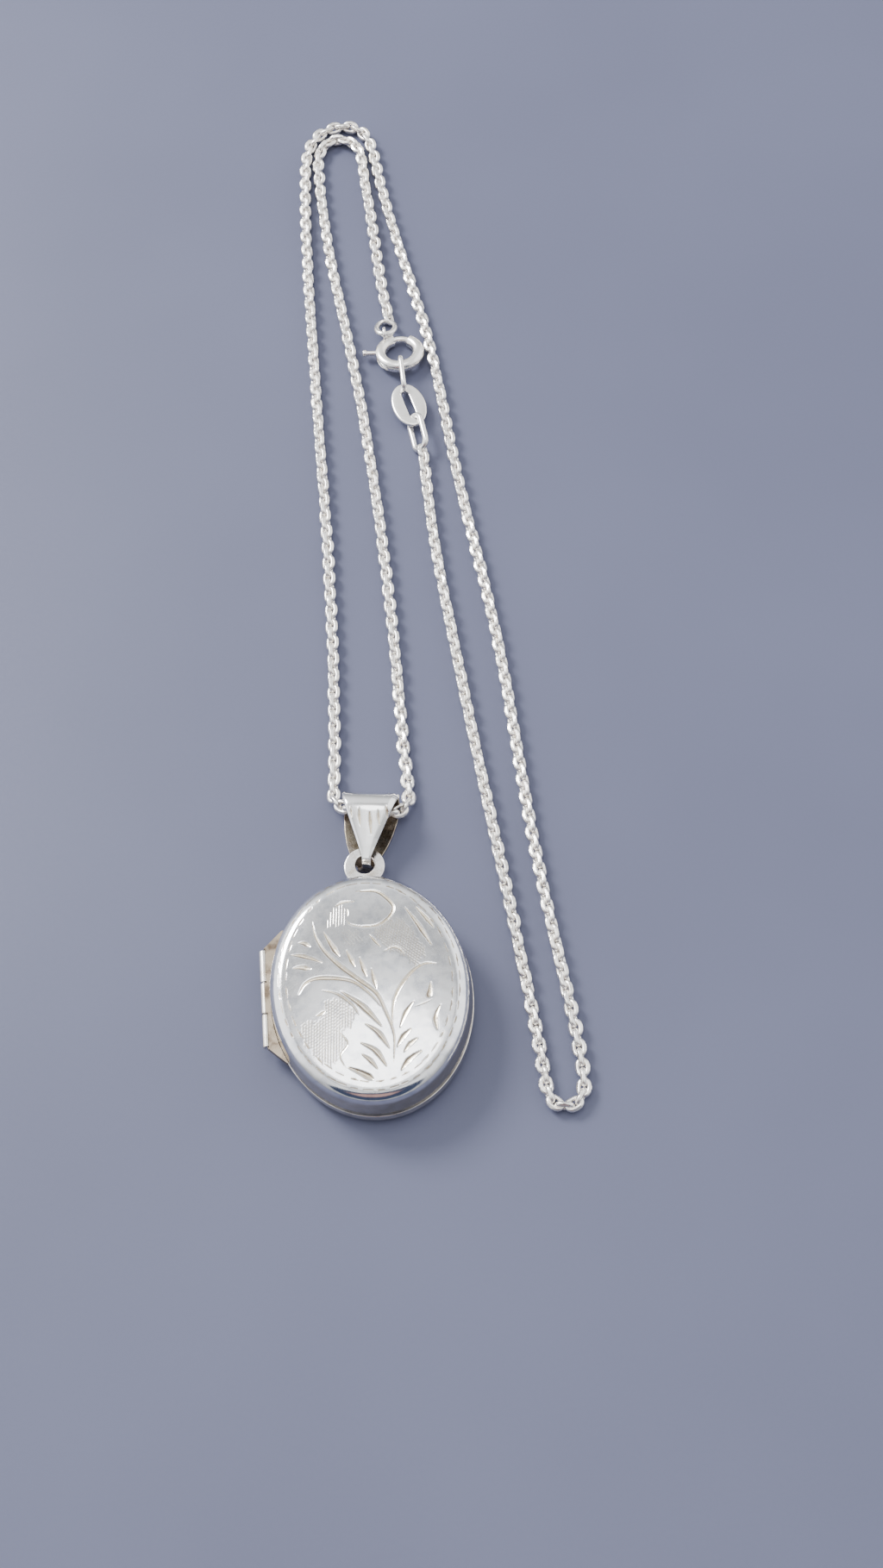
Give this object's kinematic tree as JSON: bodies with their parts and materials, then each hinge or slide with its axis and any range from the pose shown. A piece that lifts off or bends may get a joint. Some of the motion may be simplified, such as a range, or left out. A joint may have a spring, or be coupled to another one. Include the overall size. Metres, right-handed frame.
{
  "type": "locket",
  "caption": "Oval silver locket with an engraved hinged front cover, folded bail, and trace chain with a bolt ring clasp and oval tag, laid flat.",
  "frame": {"origin": "centre of the flat on the locket's back, which lies on the table", "axes": "+Y towards the bail, +Z out of the front cover, hinge on the -X side"},
  "size_m": [0.0325, 0.1327, 0.0066],
  "materials": {
    "engraved_silver": "polished silver, engraved, fine handling scratches",
    "polished_silver": "polished silver",
    "inner_silver": "lightly tarnished silver",
    "hinge_silver": "polished silver with tarnish in the joints",
    "hinge_wire": "drawn wire",
    "chain_silver": "bright silver with filed faces",
    "clasp_silver": "bright silver",
    "spring_steel": "drawn spring wire",
    "clear_acetate": "clear, glossy",
    "blank_card": "matt"
  },
  "bodies": {
    "chain_and_bail": {"bail": "polished_silver", "trace_chain": "chain_silver", "clasp_jump_ring": "clasp_silver", "bolt_ring_body": "clasp_silver", "bolt_ring_spring": "spring_steel", "bolt_ring_eye": "clasp_silver", "tag_connector_link": "clasp_silver", "oval_tag": "clasp_silver", "tag_jump_ring": "clasp_silver"},
    "back_half": {"back_cover": "polished_silver", "closing_lip": "inner_silver", "back_bezel": "inner_silver", "back_window": "clear_acetate", "back_picture_blank": "blank_card", "hinge_knuckle_lower": "hinge_silver", "hinge_knuckle_upper": "hinge_silver", "hinge_pin": "hinge_wire", "hinge_bearer_back": "hinge_silver", "hanging_eyelet": "polished_silver"},
    "front_half": {"front_cover": "engraved_silver", "front_bezel": "inner_silver", "front_window": "clear_acetate", "front_picture_blank": "blank_card", "hinge_knuckle_middle": "hinge_silver", "hinge_bearer_front": "hinge_silver"},
    "bolt_ring_trigger": {"bolt_ring_tongue": "clasp_silver", "bolt_ring_thumb_lever": "clasp_silver"}
  },
  "joints": [
    {"name": "pendant_swing", "type": "hinge", "parent": "chain_and_bail", "child": "back_half", "pos_m": [0.0003, 0.01661, 0.00155], "axis": [-0.989, 0.1478, 0], "range_deg": [0, 70]},
    {"name": "cover_hinge", "type": "hinge", "parent": "back_half", "child": "front_half", "pos_m": [-0.0109, 0.001, 0.0021], "axis": [0, -1, 0], "range_deg": [0, 135]},
    {"name": "clasp_trigger", "type": "hinge", "parent": "chain_and_bail", "child": "bolt_ring_trigger", "pos_m": [0.0081, 0.08185, 0.00102], "axis": [0, 0.1392, 0.9903], "range_deg": [0, 50], "stiffness_Nm_per_rad": 0.0004, "springref_deg": -34.38, "deforming": ["bolt_ring_spring"]}
  ]
}
